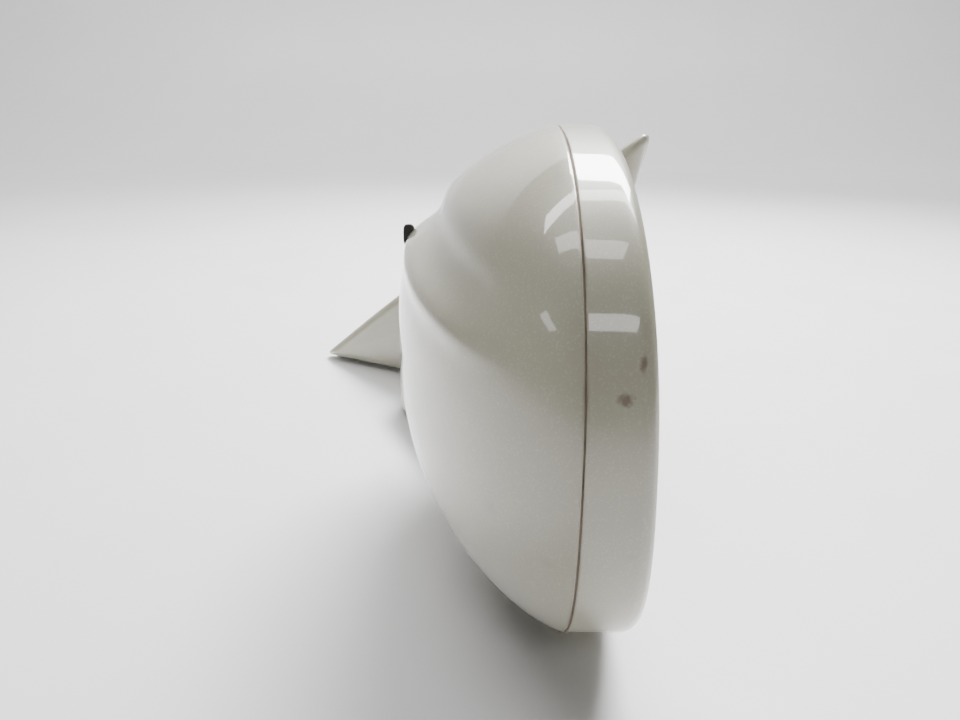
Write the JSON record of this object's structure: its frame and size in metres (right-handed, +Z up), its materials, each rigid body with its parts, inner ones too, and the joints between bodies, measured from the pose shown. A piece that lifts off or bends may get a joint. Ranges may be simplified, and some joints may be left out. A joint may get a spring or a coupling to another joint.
{
  "type": "car door mirror",
  "caption": "Left-hand outside door mirror: rounded painted housing on a folding pivot, tilting glass, and a triangular sail foot with studs.",
  "frame": {"origin": "middle of the mounting pad, on the plane of the door's outer skin", "axes": "+X to the rear of the car, +Y inboard into the door, +Z up; the mirror hangs outboard at negative Y"},
  "size_m": [0.2737, 0.244, 0.1544],
  "materials": {
    "pearl_paint": "pearl white lacquer over plastic, high gloss, lightly scuffed",
    "black_plastic": "fine-grained black",
    "frame_plastic": "dark grey glass-filled nylon",
    "rubber": "matt black",
    "mirror_glass": "first-surface silvered glass",
    "heater_foil": "amber film with a printed track",
    "die_cast": "as-cast, tumbled",
    "white_acetal": "natural white, satin",
    "spring_steel": "dark oiled wire",
    "plated_steel": "zinc-plated"
  },
  "bodies": {
    "base": {"door_gasket": "rubber", "base_bracket": "die_cast", "sail_cover": "pearl_paint", "arm_lid": "black_plastic", "pivot_shaft": "plated_steel", "thrust_washer": "white_acetal", "spring_cap": "plated_steel", "retaining_clip": "plated_steel", "pivot_seal": "rubber", "cover_screw_1": "plated_steel", "cover_screw_2": "plated_steel", "cover_screw_3": "plated_steel", "door_stud_1": "plated_steel", "door_stud_2": "plated_steel", "door_stud_3": "plated_steel", "harness_grommet": "rubber"},
    "housing": {"front_shell": "pearl_paint", "rim_shell": "pearl_paint", "seam_seal": "rubber", "fold_bumper": "rubber", "housing_frame": "frame_plastic", "actuator_case_rear": "black_plastic", "actuator_case_front": "black_plastic", "motor_vertical": "plated_steel", "motor_horizontal": "plated_steel", "fold_spring": "spring_steel", "detent_washer": "plated_steel", "shell_screw_1": "plated_steel", "shell_screw_2": "plated_steel", "shell_screw_3": "plated_steel", "rim_screw_1": "plated_steel", "rim_screw_2": "plated_steel", "rim_screw_3": "plated_steel", "rim_screw_4": "plated_steel", "actuator_screw_1": "plated_steel", "actuator_screw_2": "plated_steel", "actuator_screw_3": "plated_steel"},
    "gimbal": {"tilt_cross": "plated_steel"},
    "glass": {"glass_holder": "black_plastic", "heater_pad": "heater_foil", "mirror_glass": "mirror_glass"},
    "plunger_v": {"plunger_vertical": "white_acetal"},
    "plunger_h": {"plunger_horizontal": "white_acetal"},
    "wheel_v": {"worm_wheel_vertical": "white_acetal"},
    "wheel_h": {"worm_wheel_horizontal": "white_acetal"},
    "worm_v": {"worm_vertical": "white_acetal"},
    "worm_h": {"worm_horizontal": "white_acetal"}
  },
  "joints": [
    {"name": "fold", "type": "hinge", "parent": "base", "child": "housing", "pos_m": [0.0407, -0.0747, 0.0255], "axis": [0, 0, 1], "range_deg": [-55, 65]},
    {"name": "glass_pitch", "type": "hinge", "parent": "housing", "child": "gimbal", "pos_m": [0.09366, -0.13242, 0.0275], "axis": [-0.4772, 0.8788, 0], "range_deg": [-8, 8]},
    {"name": "glass_yaw", "type": "hinge", "parent": "gimbal", "child": "glass", "pos_m": [0.09366, -0.13242, 0.0275], "axis": [0, 0, 1], "range_deg": [-6, 6]},
    {"name": "plunger_vertical_slide", "type": "slide", "parent": "housing", "child": "plunger_v", "axis": [-0.8788, -0.4772, 0], "range_m": [-0.00349, 0.00349]},
    {"name": "plunger_horizontal_slide", "type": "slide", "parent": "housing", "child": "plunger_h", "axis": [-0.8788, -0.4772, 0], "range_m": [-0.00262, 0.00262]},
    {"name": "wheel_vertical_turn", "type": "hinge", "parent": "housing", "child": "wheel_v", "pos_m": [0.07978, -0.13996, 0.0025], "axis": [-0.8788, -0.4772, 0], "range_deg": [-209.65, 209.65]},
    {"name": "wheel_horizontal_turn", "type": "hinge", "parent": "housing", "child": "wheel_h", "pos_m": [0.0917, -0.16193, 0.0275], "axis": [-0.8788, -0.4772, 0], "range_deg": [-157.24, 157.24]},
    {"name": "worm_vertical_turn", "type": "hinge", "parent": "housing", "child": "worm_v", "pos_m": [0.07491, -0.131, 0.0025], "axis": [0, 0, 1], "range_deg": [-3773.68, 3773.68]},
    {"name": "worm_horizontal_turn", "type": "hinge", "parent": "housing", "child": "worm_h", "pos_m": [0.0917, -0.16193, 0.0377], "axis": [-0.4772, 0.8788, 0], "range_deg": [-2830.26, 2830.26]}
  ],
  "couplings": [
    {"joint": "plunger_vertical_slide", "follows": "glass_pitch", "m_per_rad": 0.025},
    {"joint": "wheel_vertical_turn", "follows": "glass_pitch", "ratio": 26.18},
    {"joint": "worm_vertical_turn", "follows": "glass_pitch", "ratio": 471.24},
    {"joint": "plunger_horizontal_slide", "follows": "glass_yaw", "m_per_rad": -0.025},
    {"joint": "wheel_horizontal_turn", "follows": "glass_yaw", "ratio": -26.18},
    {"joint": "worm_horizontal_turn", "follows": "glass_yaw", "ratio": 471.24}
  ]
}
